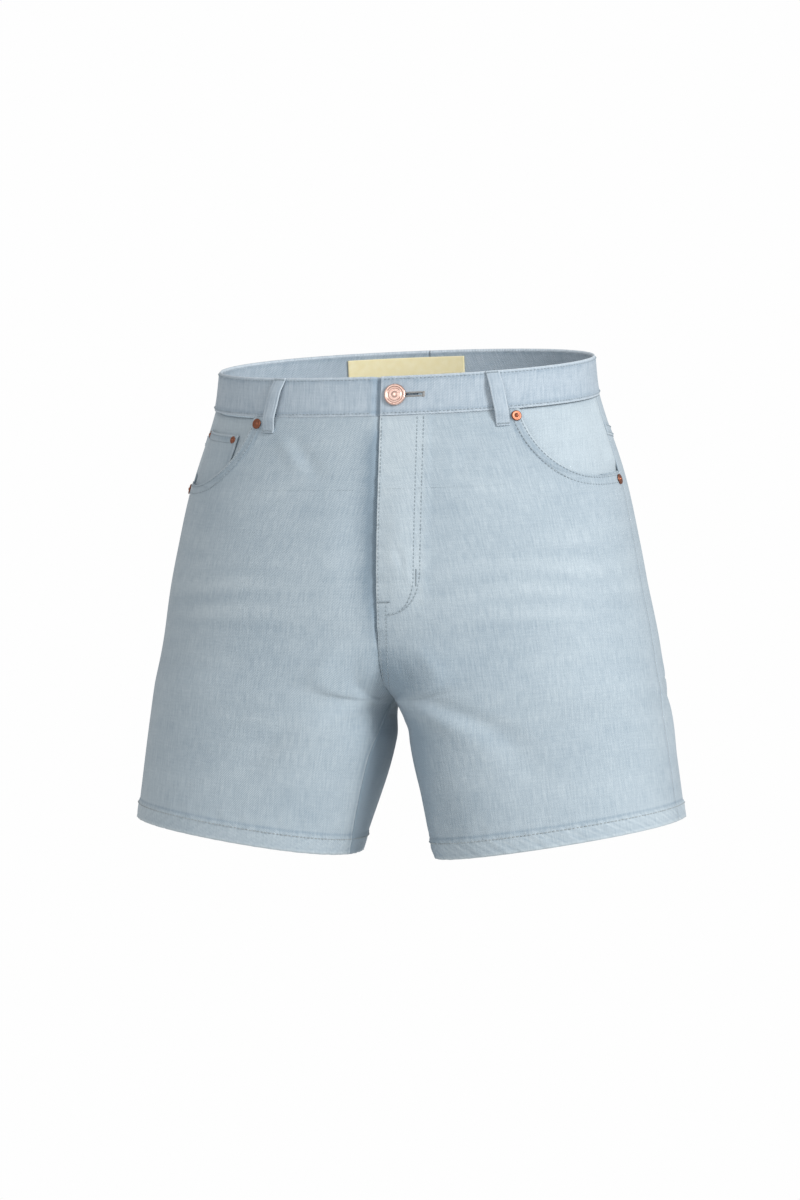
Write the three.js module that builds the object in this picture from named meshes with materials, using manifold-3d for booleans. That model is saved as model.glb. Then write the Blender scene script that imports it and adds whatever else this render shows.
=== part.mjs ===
// Denim bermuda shorts with five pockets, in the form they take when worn, with no wearer.
// Millimetres, +Z up. The front faces -Y and the wearer's left is +X (side = +1), the right is -X (side = -1).
// The origin is the centre of the waist opening, at the mean height of its top edge.
import * as THREE from 'three';
import { mergeVertices } from 'three/addons/utils/BufferGeometryUtils.js';
import Module from 'manifold-3d';

// ---- Driving dimensions ----
const CLOTH = 1.2;            // one layer of denim with its seam allowance pressed flat
const BAND = 2.6;             // waistband: two layers and the turned edges
const BAND_PROUD = 0.7;       // how far the waistband's face stands over the panels
const GAP = 0.3;              // clearance between neighbouring pieces
const PLY_GAP = 1.7;          // clearance between wide pieces that lie on each other, whose facets differ
const WAIST_SEAM = -31;       // level of the seam between waistband and panels
const HEM = -375;             // level of the leg's bottom edge
const HEM_DEPTH = 14;         // turned hem
const HEM_THICK = 3.0;
const CROTCH = -260;          // level where front and back meet between the legs
const POCKET_REACH = 92;      // pocket mouth, from the side seam along the waist seam
const POCKET_DROP = 59;       // pocket mouth, down the side seam
const FLY_WIDTH = 20;         // the right front's extension under the fly
const FLY_BOTTOM = -186;
const BAND_LAP = 29;          // the right waistband's end under the left one
const YOKE_SIDE = 30;         // depth of the back yoke below the waist seam, at the side
const YOKE_CENTRE = 66;       // and at the centre back
const LOOP_WIDTH = 11;
const LOOP_THICK = 1.6;
const LOOP_ARCH = 3.2;        // how far a belt loop stands off at its middle
const LOOP_BELOW = 13;        // how far a belt loop runs below the waist seam
const BUTTON_RADIUS = 8.5;
const BUTTON_ACROSS = 11.5;   // button centre, from the centre front
const BUTTON_LEVEL = -15;
const WAIST_TILT = 0.022;     // the waist sits a little higher on the wearer's left
const LEAN = 2;               // below the hip, the hollow leans this far towards the wearer's left
const INNER_DRIFT = 5.5;      // at the hem, both inner leg edges lie this far towards the wearer's right
const MIDDLE_DRIFT = 2;       // and the middles of both leg rings this far
const LEFT_CLEAR = 10;        // the left leg's inner edge stands this much further from the right leg
const HEM_SAG = 3;            // how far the front of the hem sags

// ---- Small maths ----
const radians = THREE.MathUtils.degToRad;

function ramp(from, to, value) {
  const t = THREE.MathUtils.clamp((value - from) / (to - from), 0, 1);
  return t * t * (3 - 2 * t);
}

function table(columns, rows) {
  const names = columns.split(' ');
  return rows.map((row) => Object.fromEntries(names.map((name, i) => [name, row[i]])));
}

// ---- The worn form: one row for each level, half-widths and depths of one half of the body, then of one leg ----
// middle is where the ring is deepest; square fills the ring's corners; rise lifts the back; splay lifts the outside;
// seam and inseam are how many degrees the two leg seams sit forward; fork carries the inner thigh forward.
const FORM = table('level outer inner middle front back centre square rise splay seam inseam fork', [
  [0, 150.5, -150.5, 0, -98, 96, 0, 0.02, 0.170, 0, 3, 0, 0],
  [-31, 154.5, -154.5, 0, -103, 103, 0, 0.02, 0.160, 0, 4, 0, 0],
  [-95, 174.5, -174.5, 0, -112, 122, 3, 0.03, 0.120, 0, 6, 0, 0],
  [-150, 186.5, -165, 12, -117, 134, 5, 0.03, 0.080, 0, 7, 0, 0],
  [-190, 193.5, -120, 34, -117, 136, 6, 0.03, 0.050, 0.010, 8, 0, 6],
  [-215, 197.5, -75, 56, -115, 133, 6, 0.03, 0.035, 0.020, 9, 0, 16],
  [-238, 201, -33, 78, -113, 129, 5, 0.03, 0.020, 0.035, 10, 0, 28],
  [CROTCH, 204.5, 0.5, 100, -110, 124, 4, 0.03, 0.010, 0.060, 11, 4, 36],
  [-290, 208.5, 3.5, 106, -107, 120, 4, 0.03, 0, 0.090, 12, 22, 36],
  [-320, 212.5, 11, 112, -104, 116, 5, 0.03, -0.010, 0.120, 12, 24, 32],
  [HEM, 219.5, 30, 125, -98, 110, 6, 0.03, 0, 0.155, 12, 15, 22],
]);

// Soft folds that move the cloth in or out, on one side: across is the distance from the centre front,
// lean is how far the fold drifts outwards from its top to its bottom.
const FOLDS = table('side top bottom across lean width depth', [
  [-1, -40, -230, 12, 4, 16, -3.2],
  [1, -60, -215, 17, 0, 13, 2.2],
  [1, -205, -330, 30, 62, 20, 3.4],
  [1, -225, -345, 58, 66, 17, -2.6],
  [-1, -215, -335, 34, 52, 20, 2.8],
  [-1, -240, -350, 62, 50, 17, -2.2],
]);

// A smooth curve through one column, with uneven steps between the rows.
function between(column, level) {
  let i = 0;
  while (i < FORM.length - 2 && level < FORM[i + 1].level) i += 1;
  const slope = (k) => (FORM[k + 1][column] - FORM[k][column]) / (FORM[k + 1].level - FORM[k].level);
  const step = (k) => FORM[k + 1].level - FORM[k].level;
  const tangent = (k) => {
    if (k === 0) return slope(0);
    if (k === FORM.length - 1) return slope(k - 1);
    return (slope(k - 1) * step(k) + slope(k) * step(k - 1)) / (step(k - 1) + step(k));
  };
  const h = step(i);
  const t = (level - FORM[i].level) / h;
  const t2 = t * t;
  const t3 = t2 * t;
  return (2 * t3 - 3 * t2 + 1) * FORM[i][column] + (t3 - 2 * t2 + t) * h * tangent(i)
    + (3 * t2 - 2 * t3) * FORM[i + 1][column] + (t3 - t2) * h * tangent(i + 1);
}

const rowCache = new Map();
function formRow(level) {
  if (!rowCache.has(level)) {
    rowCache.set(level, Object.fromEntries(Object.keys(FORM[0]).map((name) => [name, between(name, level)])));
  }
  return rowCache.get(level);
}

// A point of the bare form. The angle runs from the inside (0) by the front (90 degrees) and side (180) to the back.
function formPoint(angle, level, side) {
  const r = formRow(level);
  const leg = ramp(-255, HEM, level);
  const outer = r.outer + side * LEAN * ramp(-170, -230, level);
  const clear = side > 0 ? LEFT_CLEAR * ramp(CROTCH - 2, -288, level) * (1 - 0.5 * ramp(-320, HEM, level)) : 0;
  const inner = r.inner - side * INNER_DRIFT * leg + clear;
  const middle = r.middle - side * MIDDLE_DRIFT * leg;
  const c = Math.cos(angle);
  const s = Math.sin(angle);
  const halfWidth = THREE.MathUtils.lerp(outer - middle, middle - inner, (1 + c) / 2);
  const toFront = r.centre - r.front - r.fork / 2;
  const toBack = r.back - r.centre + r.fork / 2;
  const halfDepth = THREE.MathUtils.lerp(toBack, toFront, (1 + s) / 2);
  const corner = 1 + r.square * Math.sin(2 * angle) ** 2;
  const x = middle - halfWidth * c * corner;
  const y = r.centre - halfDepth * s * corner - r.fork * (1 + c) / 2;
  const X = side * x;
  const sag = HEM_SAG * (1 + 0.5 * side) * Math.max(s, 0) * leg;
  const z = level + r.rise * y + r.splay * (x - r.middle) + WAIST_TILT * X * ramp(-300, 0, level) - sag;
  return new THREE.Vector3(X, y, z);
}

function outward(angle, level, side) {
  const along = formPoint(angle + 0.01, level, side).sub(formPoint(angle - 0.01, level, side));
  const top = Math.min(level + 1, 0);
  const up = formPoint(angle, top, side).sub(formPoint(angle, Math.max(level - 1, HEM), side));
  return along.cross(up).multiplyScalar(side).normalize();
}

// Where the ring crosses x = 0, or the inseam below the crotch.
function innerAngles(level, side) {
  const r = formRow(level);
  if (r.inner >= 0) return [radians(r.inseam), 2 * Math.PI + radians(r.inseam)];
  const cross = (a, b) => {
    let [low, high] = [a, b];
    for (let i = 0; i < 34; i += 1) {
      const mid = (low + high) / 2;
      if (side * formPoint(mid, level, side).x < 0) low = mid;
      else high = mid;
    }
    return high;
  };
  return [cross(0, 0.6 * Math.PI), cross(2 * Math.PI, 1.4 * Math.PI)];
}

// The ring measured along the cloth: distance 0 at the inner front edge, then round by the side to the inner back.
const spanCache = new Map();
function span(level, side) {
  const key = `${level},${side}`;
  if (!spanCache.has(key)) {
    const [start, end] = innerAngles(level, side);
    const seam = Math.PI - radians(formRow(level).seam);
    const steps = 120;
    const angles = [];
    for (let i = 0; i <= steps; i += 1) angles.push(start + (seam - start) * i / steps);
    for (let i = 1; i <= steps; i += 1) angles.push(seam + (end - seam) * i / steps);
    const distances = [0];
    for (let i = 1; i < angles.length; i += 1) {
      const piece = formPoint(angles[i], level, side).distanceTo(formPoint(angles[i - 1], level, side));
      distances.push(distances[i - 1] + piece);
    }
    spanCache.set(key, { angles, distances, seam: distances[steps], total: distances[2 * steps] });
  }
  return spanCache.get(key);
}

function fold(level, across, side) {
  let out = 0;
  for (const f of FOLDS) {
    if (f.side !== side) continue;
    const t = (f.top - level) / (f.top - f.bottom);
    if (t <= 0 || t >= 1) continue;
    const off = (across - f.across - f.lean * t) / f.width;
    out += f.depth * Math.sin(Math.PI * t) ** 2 * Math.exp(-off * off);
  }
  return out;
}

// A point of the cloth at a level and a distance across from the inner front edge, moved out by lift.
// A negative distance carries on past the centre front, on the other half.
function clothPoint(level, across, side, lift = 0) {
  const half = across < 0 ? -side : side;
  const ring = span(level, half);
  const distance = THREE.MathUtils.clamp(Math.abs(across), 0, ring.total);
  let i = 1;
  while (i < ring.distances.length - 1 && ring.distances[i] < distance) i += 1;
  const t = (distance - ring.distances[i - 1]) / (ring.distances[i] - ring.distances[i - 1]);
  const angle = THREE.MathUtils.lerp(ring.angles[i - 1], ring.angles[i], t);
  const normal = outward(angle, level, half);
  const point = formPoint(angle, level, half).addScaledVector(normal, lift + fold(level, distance, half));
  return { point, normal };
}

// ---- Solids from a grid: the outer face, the inner face a thickness below it, and the four rims ----
function signedVolume(vertices, triangles) {
  const [a, b, c] = [new THREE.Vector3(), new THREE.Vector3(), new THREE.Vector3()];
  let volume = 0;
  for (let i = 0; i < triangles.length; i += 3) {
    a.fromArray(vertices, 3 * triangles[i]);
    b.fromArray(vertices, 3 * triangles[i + 1]);
    c.fromArray(vertices, 3 * triangles[i + 2]);
    volume += a.dot(b.cross(c)) / 6;
  }
  return volume;
}

function wall(rows, columns, surface) {
  const vertices = [];
  const triangles = [];
  const at = (layer, i, j) => (layer * (rows + 1) + i) * (columns + 1) + j;
  for (const layer of [0, 1]) {
    for (let i = 0; i <= rows; i += 1) {
      for (let j = 0; j <= columns; j += 1) {
        const { point, normal, thick } = surface(j / columns, i / rows, i, j);
        const place = point.clone().addScaledVector(normal, -layer * thick);
        vertices.push(place.x, place.y, place.z);
      }
    }
  }
  const quad = (a, b, c, d) => triangles.push(a, b, c, a, c, d);
  for (let i = 0; i < rows; i += 1) {
    for (let j = 0; j < columns; j += 1) {
      quad(at(0, i, j), at(0, i + 1, j), at(0, i + 1, j + 1), at(0, i, j + 1));
      quad(at(1, i, j), at(1, i, j + 1), at(1, i + 1, j + 1), at(1, i + 1, j));
    }
    quad(at(0, i, 0), at(1, i, 0), at(1, i + 1, 0), at(0, i + 1, 0));
    quad(at(0, i, columns), at(0, i + 1, columns), at(1, i + 1, columns), at(1, i, columns));
  }
  for (let j = 0; j < columns; j += 1) {
    quad(at(0, 0, j), at(0, 0, j + 1), at(1, 0, j + 1), at(1, 0, j));
    quad(at(0, rows, j), at(1, rows, j), at(1, rows, j + 1), at(0, rows, j + 1));
  }
  if (signedVolume(vertices, triangles) < 0) {
    for (let i = 0; i < triangles.length; i += 3) {
      [triangles[i], triangles[i + 1]] = [triangles[i + 1], triangles[i]];
    }
  }
  const geometry = new THREE.BufferGeometry();
  geometry.setAttribute('position', new THREE.Float32BufferAttribute(vertices, 3));
  geometry.setIndex(triangles);
  geometry.computeVertexNormals();
  return geometry;
}

// ---- Materials ----
const denim = new THREE.MeshStandardMaterial({ color: 0xafbfc9, roughness: 0.9, metalness: 0 });
const bandDenim = new THREE.MeshStandardMaterial({ color: 0xb7c5d0, roughness: 0.9, metalness: 0 });
const copper = new THREE.MeshStandardMaterial({ color: 0xc08a72, roughness: 0.35, metalness: 1 });
const labelCloth = new THREE.MeshStandardMaterial({ color: 0xe8dfbb, roughness: 0.8, metalness: 0 });

const shorts = new THREE.Group();
function add(name, geometry, material) {
  const mesh = new THREE.Mesh(geometry, material);
  mesh.name = name;
  shorts.add(mesh);
  return mesh;
}
const word = (side) => (side > 0 ? 'left' : 'right');
const SIDES = [1, -1];

// ---- Waistband: two halves joined at the centre back, the left lapped over the right at the front ----
const wasm = await Module();
wasm.setup();

function solid(geometry) {
  const bare = geometry.clone();
  bare.deleteAttribute('normal');
  bare.deleteAttribute('uv');
  const merged = mergeVertices(bare, 1e-4);
  return new wasm.Manifold(new wasm.Mesh({
    numProp: 3,
    vertProperties: new Float32Array(merged.attributes.position.array),
    triVerts: new Uint32Array(merged.index.array),
  }));
}

function geometryOf(manifold) {
  const mesh = manifold.getMesh();
  const geometry = new THREE.BufferGeometry();
  geometry.setAttribute('position', new THREE.Float32BufferAttribute(mesh.vertProperties, 3));
  geometry.setIndex(Array.from(mesh.triVerts));
  geometry.computeVertexNormals();
  return geometry;
}

// Columns near the centre front are close together, so that the lower half steps in under the upper one.
function acrossFrom(near, end, column, columns) {
  if (column < near.length) return near[column];
  return THREE.MathUtils.lerp(near.at(-1), end, (column - near.length + 1) / (columns - near.length + 1));
}

const BAND_COLUMNS = 32;
function waistband(side) {
  const near = side > 0 ? [GAP / 2, 4, 8] : [-BAND_LAP, -BAND_LAP / 2, -2, 1.5, 4, 7];
  const underlap = BAND + GAP + 0.1;
  return wall(3, BAND_COLUMNS, (u, v, i, j) => {
    const level = -0.01 + (WAIST_SEAM + GAP / 2) * v;
    const across = acrossFrom(near, span(level, side).total - GAP / 2, j, BAND_COLUMNS);
    const step = side < 0 ? underlap * ramp(7, 1.5, across) : 0;
    return { ...clothPoint(level, across, side, BAND_PROUD - step), thick: BAND };
  });
}

const buttonSpot = clothPoint(BUTTON_LEVEL, BUTTON_ACROSS, 1, BAND_PROUD);
const slotEnd = clothPoint(BUTTON_LEVEL, BUTTON_ACROSS + 22, 1, BAND_PROUD);
const slotAlong = slotEnd.point.clone().sub(buttonSpot.point).normalize();
const slot = new THREE.BoxGeometry(25, 3, 14);
const slotFrame = new THREE.Matrix4().makeBasis(
  slotAlong,
  new THREE.Vector3().crossVectors(buttonSpot.normal, slotAlong),
  buttonSpot.normal,
);
slotFrame.setPosition(buttonSpot.point.clone().addScaledVector(slotAlong, 9.5));
slot.applyMatrix4(slotFrame);
const leftBand = solid(waistband(1)).subtract(solid(slot));
add('waistband_left', geometryOf(leftBand), bandDenim);
add('waistband_right', waistband(-1), bandDenim);

// ---- Front panels: the pocket mouth is cut out of the upper outer corner ----
// The mouth falls steeply from the waist seam, then runs flat to the side seam.
const MOUTH_TURNS = [0, 14, 28, 42, 54, 63, 70, 76, 81, 85, 88, 90];
function pocketMouth(row) {
  const turn = radians(MOUTH_TURNS[row]);
  return {
    level: WAIST_SEAM - GAP / 2 - POCKET_DROP * Math.sin(turn) ** 0.95,
    fromSide: POCKET_REACH * Math.max(Math.cos(turn), 0) ** 0.5,
  };
}

const MOUTH_ROWS = MOUTH_TURNS.length - 1;
// Front and back share these rows, so that their seams keep the same facets.
const LEG_LEVELS = [-132, -150, -169, -187, -206, -225, -243, -258, -266, -280, -293, -306, -320, -341,
  HEM + HEM_DEPTH, HEM + HEM_DEPTH - 1, HEM + 0.01];
const FRONT_ROWS = MOUTH_ROWS + 1 + LEG_LEVELS.length;
function frontRow(i) {
  if (i <= MOUTH_ROWS) return pocketMouth(i);
  if (i === MOUTH_ROWS + 1) return { level: -111, fromSide: 0 };
  return { level: LEG_LEVELS[i - MOUTH_ROWS - 2], fromSide: 0 };
}

function hemThickness(level) {
  return level < HEM + HEM_DEPTH - 0.5 ? HEM_THICK : CLOTH;
}

// The right front carries on under the fly as far down as the fly's bottom, stepped in below the left front.
const FRONT_COLUMNS = 16;
function frontPanel(side) {
  return wall(FRONT_ROWS, FRONT_COLUMNS, (u, v, i, j) => {
    const { level, fromSide } = frontRow(i);
    const underFly = side < 0 ? ramp(FLY_BOTTOM - 18, FLY_BOTTOM - 2, level) : 0;
    const start = GAP - FLY_WIDTH * underFly;
    const near = [start, (start + 0.8) / 2, 0.8, 3, 5.5];
    const end = span(level, side).seam - Math.max(fromSide, GAP / 2);
    const across = acrossFrom(near, end, j, FRONT_COLUMNS);
    const stepped = side < 0 ? ramp(FLY_BOTTOM - 38, FLY_BOTTOM - 22, level) : 0;
    const step = (CLOTH + 3 * GAP) * ramp(5, 0.8, across) * stepped;
    return { ...clothPoint(level, across, side, -step), thick: hemThickness(level) };
  });
}

for (const side of SIDES) add(`front_${word(side)}`, frontPanel(side), denim);

// ---- Pocket facings, and the coin pocket that lies on the right one ----
const FACING_BOTTOM = -112;
const COIN = { level: -46, bottom: -98, nearSide: 6, width: 70, lift: -CLOTH - PLY_GAP, thick: 1.0 };

function patch(rows, columns, side, spot, lift, thick) {
  return wall(rows, columns, (u, v) => {
    const { level, across } = spot(u, v);
    return { ...clothPoint(level, across, side, lift), thick };
  });
}

for (const side of SIDES) {
  const lift = side < 0 ? COIN.lift - COIN.thick - PLY_GAP : -CLOTH - PLY_GAP;
  const facing = patch(7, 11, side, (u, v) => {
    const level = THREE.MathUtils.lerp(WAIST_SEAM - GAP / 2, FACING_BOTTOM, v);
    const seam = span(level, side).seam;
    return { level, across: THREE.MathUtils.lerp(seam - POCKET_REACH - 9, seam - GAP / 2, u) };
  }, lift, 1.1);
  add(`pocket_facing_${word(side)}`, facing, denim);
}

const coinPocket = patch(5, 6, -1, (u, v) => {
  const level = THREE.MathUtils.lerp(COIN.level, COIN.bottom, v);
  return { level, across: span(level, -1).seam - COIN.nearSide - COIN.width * (1 - u) };
}, COIN.lift, COIN.thick);
add('coin_pocket', coinPocket, denim);

// ---- Back: a yoke and a panel on each side ----
// The yoke seam drops from the side seam to the centre back.
function yokeLevel(u) {
  return WAIST_SEAM - THREE.MathUtils.lerp(YOKE_SIDE, YOKE_CENTRE, u);
}

for (const side of SIDES) {
  const yoke = patch(4, 12, side, (u, v) => {
    const level = THREE.MathUtils.lerp(WAIST_SEAM - GAP / 2, yokeLevel(u) + GAP / 2, v);
    const ring = span(level, side);
    return { level, across: THREE.MathUtils.lerp(ring.seam + GAP / 2, ring.total - GAP / 2, u) };
  }, 0, CLOTH);
  add(`yoke_${word(side)}`, yoke, denim);
}

const BACK_UPPER_ROWS = 4;
for (const side of SIDES) {
  const back = wall(BACK_UPPER_ROWS + LEG_LEVELS.length - 1, 13, (u, v, i) => {
    const upper = THREE.MathUtils.lerp(yokeLevel(u) - GAP / 2, LEG_LEVELS[0], i / BACK_UPPER_ROWS);
    const level = i < BACK_UPPER_ROWS ? upper : LEG_LEVELS[i - BACK_UPPER_ROWS];
    const ring = span(level, side);
    const across = THREE.MathUtils.lerp(ring.seam + GAP / 2, ring.total - GAP, u);
    return { ...clothPoint(level, across, side), thick: hemThickness(level) };
  });
  add(`back_${word(side)}`, back, denim);
}

// ---- Back pockets: plain five-sided patches laid on the back panels ----
const BACK_POCKET = { top: -107, depth: 112, point: 13, width: 128, narrow: 112, fromCentre: 44 };
for (const side of SIDES) {
  const pocket = patch(6, 8, side, (u, v) => {
    const across = THREE.MathUtils.lerp(BACK_POCKET.width, BACK_POCKET.narrow, v) * (u - 0.5);
    const depth = BACK_POCKET.depth + BACK_POCKET.point * (1 - Math.abs(2 * u - 1));
    const level = BACK_POCKET.top - depth * v + 0.08 * across;
    const centre = span(level, side).total - BACK_POCKET.fromCentre - BACK_POCKET.width / 2;
    return { level, across: centre + across };
  }, CLOTH + PLY_GAP, CLOTH);
  add(`back_pocket_${word(side)}`, pocket, denim);
}

// ---- Belt loops: straps held at both ends, arched between them ----
// distance is measured from the centre front on the named side, at the loop's top and at its bottom.
const backCentre = span(WAIST_SEAM, 1).total;
const LOOPS = table('name side top bottom', [
  ['belt_loop_front_left', 1, 86, 96],
  ['belt_loop_front_right', -1, 84, 94],
  ['belt_loop_back_left', 1, backCentre - 96, backCentre - 92],
  ['belt_loop_back_right', -1, backCentre - 96, backCentre - 92],
]);

function loopLift(v) {
  return GAP + BAND_PROUD * ramp(0.95, 0.7, v) + LOOP_ARCH * ramp(0, 0.3, v) * ramp(1, 0.72, v) + LOOP_THICK;
}

function loopLevel(v) {
  return THREE.MathUtils.lerp(-0.5, WAIST_SEAM - LOOP_BELOW, v);
}

for (const loop of LOOPS) {
  const strap = wall(9, 2, (u, v) => {
    const level = loopLevel(v);
    const across = THREE.MathUtils.lerp(loop.top, loop.bottom, v) + (u - 0.5) * LOOP_WIDTH;
    return { ...clothPoint(level, across, loop.side, loopLift(v)), thick: LOOP_THICK };
  });
  add(loop.name, strap, denim);
}

const centreLoop = wall(9, 2, (u, v) => {
  const level = loopLevel(v);
  const off = (u - 0.5) * LOOP_WIDTH;
  const side = off < 0 ? -1 : 1;
  const spot = clothPoint(level, span(level, side).total - Math.abs(off), side, loopLift(v));
  return { ...spot, thick: LOOP_THICK };
});
add('belt_loop_back_centre', centreLoop, denim);

// ---- Button and rivets: turned metal, standing on the cloth ----
function turned(profile, segments, spot) {
  const points = profile.map(([radius, height]) => new THREE.Vector2(radius, height));
  const geometry = mergeVertices(new THREE.LatheGeometry(points, segments));
  geometry.applyQuaternion(new THREE.Quaternion().setFromUnitVectors(new THREE.Vector3(0, 1, 0), spot.normal));
  geometry.translate(spot.point.x, spot.point.y, spot.point.z);
  geometry.deleteAttribute('uv');
  geometry.deleteAttribute('normal');
  const merged = mergeVertices(geometry, 1e-4);
  merged.computeVertexNormals();
  return merged;
}

// The head is a domed disc with a raised ring; its shank goes down through the buttonhole to the band below.
const buttonProfile = [
  [0, -BAND - 0.25], [1.3, -BAND - 0.25], [1.3, 0.6], [7.6, 0.6], [BUTTON_RADIUS, 1.2], [BUTTON_RADIUS, 2.0],
  [7.9, 2.6], [6.6, 2.8], [5.6, 2.2], [3.4, 2.6], [1.4, 3.0], [0, 3.1],
];
add('button', turned(buttonProfile, 24, buttonSpot), copper);

function rivetProfile(radius) {
  return [[0, 0], [radius, 0], [radius, 0.5], [0.8 * radius, 0.95], [0.35 * radius, 1.1], [0.2 * radius, 1.5], [0, 1.6]];
}

// fromSide is measured from the side seam.
const RIVETS = table('name side level fromSide radius lift', [
  ['rivet_pocket_left_top', 1, -37, 96, 3.8, GAP],
  ['rivet_pocket_left_side', 1, -95.5, 5.5, 3.8, GAP],
  ['rivet_pocket_right_top', -1, -37, 97, 3.8, GAP],
  ['rivet_pocket_right_side', -1, -95.5, 5.5, 3.8, GAP],
  ['rivet_coin_outer', -1, -50, 10.5, 3.0, COIN.lift + GAP],
  ['rivet_coin_inner', -1, -50, 71, 3.0, COIN.lift + GAP],
]);
for (const rivet of RIVETS) {
  const across = span(rivet.level, rivet.side).seam - rivet.fromSide;
  const spot = clothPoint(rivet.level, across, rivet.side, rivet.lift);
  add(rivet.name, turned(rivetProfile(rivet.radius), 12, spot), copper);
}

// ---- Label: a bare woven strip inside the back of the waistband ----
const LABEL = { top: -5, bottom: -26, width: 98, shift: -19 };
const label = wall(2, 10, (u, v) => {
  const level = THREE.MathUtils.lerp(LABEL.top, LABEL.bottom, v);
  const x = LABEL.shift + (u - 0.5) * LABEL.width;
  const side = x < 0 ? -1 : 1;
  const spot = clothPoint(level, span(level, side).total - Math.abs(x), side, BAND_PROUD - BAND - PLY_GAP);
  return { ...spot, thick: 0.8 };
});
add('label', label, labelCloth);

export default shorts;
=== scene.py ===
# Denim bermuda shorts in light wash, hollow as when worn. Metres, front towards -Y, the wearer's left is +X.
# side is +1 for the wearer's left half and -1 for the right half.
import math

import bpy
import numpy as np
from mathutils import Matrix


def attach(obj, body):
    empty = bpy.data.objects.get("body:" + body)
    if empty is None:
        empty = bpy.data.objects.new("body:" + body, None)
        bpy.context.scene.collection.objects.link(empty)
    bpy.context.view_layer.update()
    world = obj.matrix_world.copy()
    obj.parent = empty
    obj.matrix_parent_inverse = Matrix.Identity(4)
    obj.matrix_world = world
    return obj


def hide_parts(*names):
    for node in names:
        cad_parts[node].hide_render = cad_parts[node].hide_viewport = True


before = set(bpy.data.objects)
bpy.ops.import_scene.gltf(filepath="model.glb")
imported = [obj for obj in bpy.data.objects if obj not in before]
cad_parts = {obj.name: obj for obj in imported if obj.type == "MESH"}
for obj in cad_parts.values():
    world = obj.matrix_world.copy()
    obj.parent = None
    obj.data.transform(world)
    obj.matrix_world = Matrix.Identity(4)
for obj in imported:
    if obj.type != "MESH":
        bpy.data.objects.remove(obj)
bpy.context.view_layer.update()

MM = 0.001

# ---- Front panels, with the form that every panel follows ----
# Two fronts cut from 12 oz cotton denim, worn soft. The pocket mouth is scooped out of each upper outer
# corner, turned under and sewn twice; the hem is turned twice and sewn once. The form below is the hollow
# that all pieces share, in millimetres; level is height, 0 at the waist's top edge.
WAIST_SEAM = -31.0
HEM = -375.0
HEM_DEPTH = 14.0
CLOTH = 1.2
GAP = 0.3
PLY_GAP = 1.7
WAIST_TILT = 0.022
LEAN = 2.0
INNER_DRIFT = 5.5
MIDDLE_DRIFT = 2.0
LEFT_CLEAR = 10.0
HEM_SAG = 3.0
POCKET_REACH = 92.0
POCKET_DROP = 59.0
FLY_BOTTOM = -186.0
FLY_WIDTH = 20.0
FORM_COLUMNS = "level outer inner middle front back centre square rise splay seam inseam fork".split()
FORM = np.array([
    [0, 150.5, -150.5, 0, -98, 96, 0, 0.02, 0.170, 0, 3, 0, 0],
    [-31, 154.5, -154.5, 0, -103, 103, 0, 0.02, 0.160, 0, 4, 0, 0],
    [-95, 174.5, -174.5, 0, -112, 122, 3, 0.03, 0.120, 0, 6, 0, 0],
    [-150, 186.5, -165, 12, -117, 134, 5, 0.03, 0.080, 0, 7, 0, 0],
    [-190, 193.5, -120, 34, -117, 136, 6, 0.03, 0.050, 0.010, 8, 0, 6],
    [-215, 197.5, -75, 56, -115, 133, 6, 0.03, 0.035, 0.020, 9, 0, 16],
    [-238, 201, -33, 78, -113, 129, 5, 0.03, 0.020, 0.035, 10, 0, 28],
    [-260, 204.5, 0.5, 100, -110, 124, 4, 0.03, 0.010, 0.060, 11, 4, 36],
    [-290, 208.5, 3.5, 106, -107, 120, 4, 0.03, 0, 0.090, 12, 22, 36],
    [-320, 212.5, 11, 112, -104, 116, 5, 0.03, -0.010, 0.120, 12, 24, 32],
    [HEM, 219.5, 30, 125, -98, 110, 6, 0.03, 0, 0.155, 12, 15, 22],
])

# The largest folds, then the small ones: across is measured from the centre front or inseam,
# and lean is the drift outwards from top to bottom.
FOLDS = [
    dict(side=-1, top=-40, bottom=-230, across=12, lean=4, width=16, depth=-3.2),
    dict(side=1, top=-60, bottom=-215, across=17, lean=0, width=13, depth=2.2),
    dict(side=1, top=-205, bottom=-330, across=30, lean=62, width=20, depth=3.4),
    dict(side=1, top=-225, bottom=-345, across=58, lean=66, width=17, depth=-2.6),
    dict(side=-1, top=-215, bottom=-335, across=34, lean=52, width=20, depth=2.8),
    dict(side=-1, top=-240, bottom=-350, across=62, lean=50, width=17, depth=-2.2),
]
CREASES = [
    dict(side=1, top=-132, bottom=-168, across=14, lean=12, width=3.2, depth=-1.1),
    dict(side=1, top=-140, bottom=-176, across=20, lean=8, width=3.0, depth=0.9),
    dict(side=1, top=-226, bottom=-268, across=14, lean=26, width=6, depth=-1.3),
    dict(side=1, top=-214, bottom=-262, across=26, lean=40, width=7, depth=1.1),
    dict(side=-1, top=-222, bottom=-266, across=10, lean=26, width=6, depth=-1.4),
    dict(side=-1, top=-210, bottom=-262, across=22, lean=44, width=8, depth=1.2),
    dict(side=-1, top=-40, bottom=-92, across=74, lean=-32, width=9, depth=-1.3),
    dict(side=-1, top=-36, bottom=-84, across=88, lean=-30, width=8, depth=1.2),
    dict(side=1, top=-40, bottom=-90, across=82, lean=-26, width=8, depth=-0.8),
    dict(side=1, top=-228, bottom=-330, across=330, lean=-30, width=13, depth=-1.8),
    dict(side=-1, top=-222, bottom=-326, across=336, lean=-34, width=14, depth=-1.9),
    dict(side=1, top=-240, bottom=-345, across=300, lean=-38, width=12, depth=1.5),
    dict(side=-1, top=-236, bottom=-340, across=302, lean=-30, width=12, depth=1.6),
]


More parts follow.
